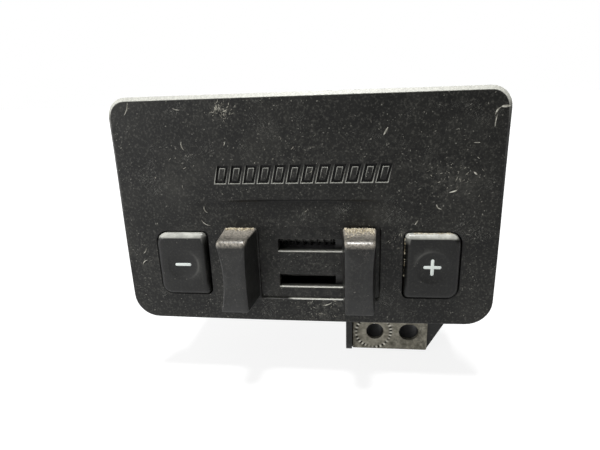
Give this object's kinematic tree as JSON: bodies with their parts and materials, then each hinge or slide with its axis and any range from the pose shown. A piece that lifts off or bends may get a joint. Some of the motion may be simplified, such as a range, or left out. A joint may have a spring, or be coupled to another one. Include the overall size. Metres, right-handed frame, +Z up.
{
  "type": "trailer brake controller unit",
  "caption": "Dash-mounted trailer brake controller: bezel with squeeze levers, plus and minus gain keys, electronics housing with a socket, and a bolt-on foot.",
  "frame": {"origin": "centre of the plane in which the bezel's rear rim seats on the dash around its opening", "axes": "+X to the right of a person facing the unit, +Y into the dash (the way the mounting foot's seat faces), +Z up"},
  "size_m": [0.125, 0.0589, 0.0998],
  "materials": {
    "black_abs": "fine moulded grain, charcoal black, dusty and lightly scratched",
    "black_nylon": "matt glass-filled nylon",
    "light_guide": "milky white light-guide plastic",
    "bright_steel": "bright zinc-plated steel",
    "worn_plated_steel": "scuffed grey-beige plated steel with bolt witness marks",
    "black_masked_board": "black-green solder-masked glass-epoxy board",
    "black_acetal": "smooth black acetal",
    "black_component": "black moulded component bodies",
    "natural_acetal": "natural off-white acetal",
    "tinned_contact": "tin-plated copper alloy"
  },
  "bodies": {
    "unit": {"bezel": "black_abs", "slot_guide": "black_abs", "fixed_lever": "black_abs", "slider_chassis": "black_nylon", "rear_housing": "black_nylon", "mounting_foot": "black_nylon", "connector_shell": "black_nylon", "minus_backlight": "light_guide", "plus_backlight": "light_guide", "guide_rod_upper": "bright_steel", "guide_rod_lower": "bright_steel", "return_spring": "bright_steel", "board_screw_left": "bright_steel", "board_screw_right": "bright_steel", "housing_screw_1": "bright_steel", "housing_screw_2": "bright_steel", "housing_screw_3": "bright_steel", "housing_screw_4": "bright_steel", "foot_screw_left": "bright_steel", "foot_screw_right": "bright_steel", "retaining_clip_left": "bright_steel", "retaining_clip_right": "bright_steel", "foot_plate": "worn_plated_steel", "control_board": "black_masked_board", "position_track": "black_component", "minus_switch_body": "black_component", "plus_switch_body": "black_component", "microcontroller": "black_component", "brake_output_driver": "black_component", "supply_capacitor_left": "black_component", "supply_capacitor_right": "black_component", "filter_coil": "black_component", "connector_contact_1": "tinned_contact", "connector_contact_2": "tinned_contact", "connector_contact_3": "tinned_contact", "connector_contact_4": "tinned_contact", "connector_contact_5": "tinned_contact", "connector_contact_6": "tinned_contact"},
    "lever_slider": {"sliding_lever": "black_abs", "slider_carriage": "black_acetal", "position_wiper": "tinned_contact"},
    "minus_button": {"minus_key": "black_abs", "minus_symbol": "light_guide"},
    "plus_button": {"plus_key": "black_abs", "plus_symbol": "light_guide"},
    "minus_plunger": {"minus_switch_plunger": "natural_acetal"},
    "plus_plunger": {"plus_switch_plunger": "natural_acetal"}
  },
  "joints": [
    {"name": "lever_squeeze", "type": "slide", "parent": "unit", "child": "lever_slider", "axis": [-1, 0, 0], "range_m": [0, 0.02], "stiffness_N_per_m": 150, "springref_m": -0.015, "deforming": ["return_spring"]},
    {"name": "minus_press", "type": "slide", "parent": "unit", "child": "minus_button", "axis": [0, 1, 0], "range_m": [0, 0.0012], "stiffness_N_per_m": 900, "springref_m": -0.0007},
    {"name": "plus_press", "type": "slide", "parent": "unit", "child": "plus_button", "axis": [0, 1, 0], "range_m": [0, 0.0012], "stiffness_N_per_m": 900, "springref_m": -0.0007},
    {"name": "minus_plunger_press", "type": "slide", "parent": "unit", "child": "minus_plunger", "axis": [0, 1, 0], "range_m": [0, 0.0012]},
    {"name": "plus_plunger_press", "type": "slide", "parent": "unit", "child": "plus_plunger", "axis": [0, 1, 0], "range_m": [0, 0.0012]}
  ],
  "couplings": [
    {"joint": "minus_plunger_press", "follows": "minus_press", "ratio": 1},
    {"joint": "plus_plunger_press", "follows": "plus_press", "ratio": 1}
  ]
}
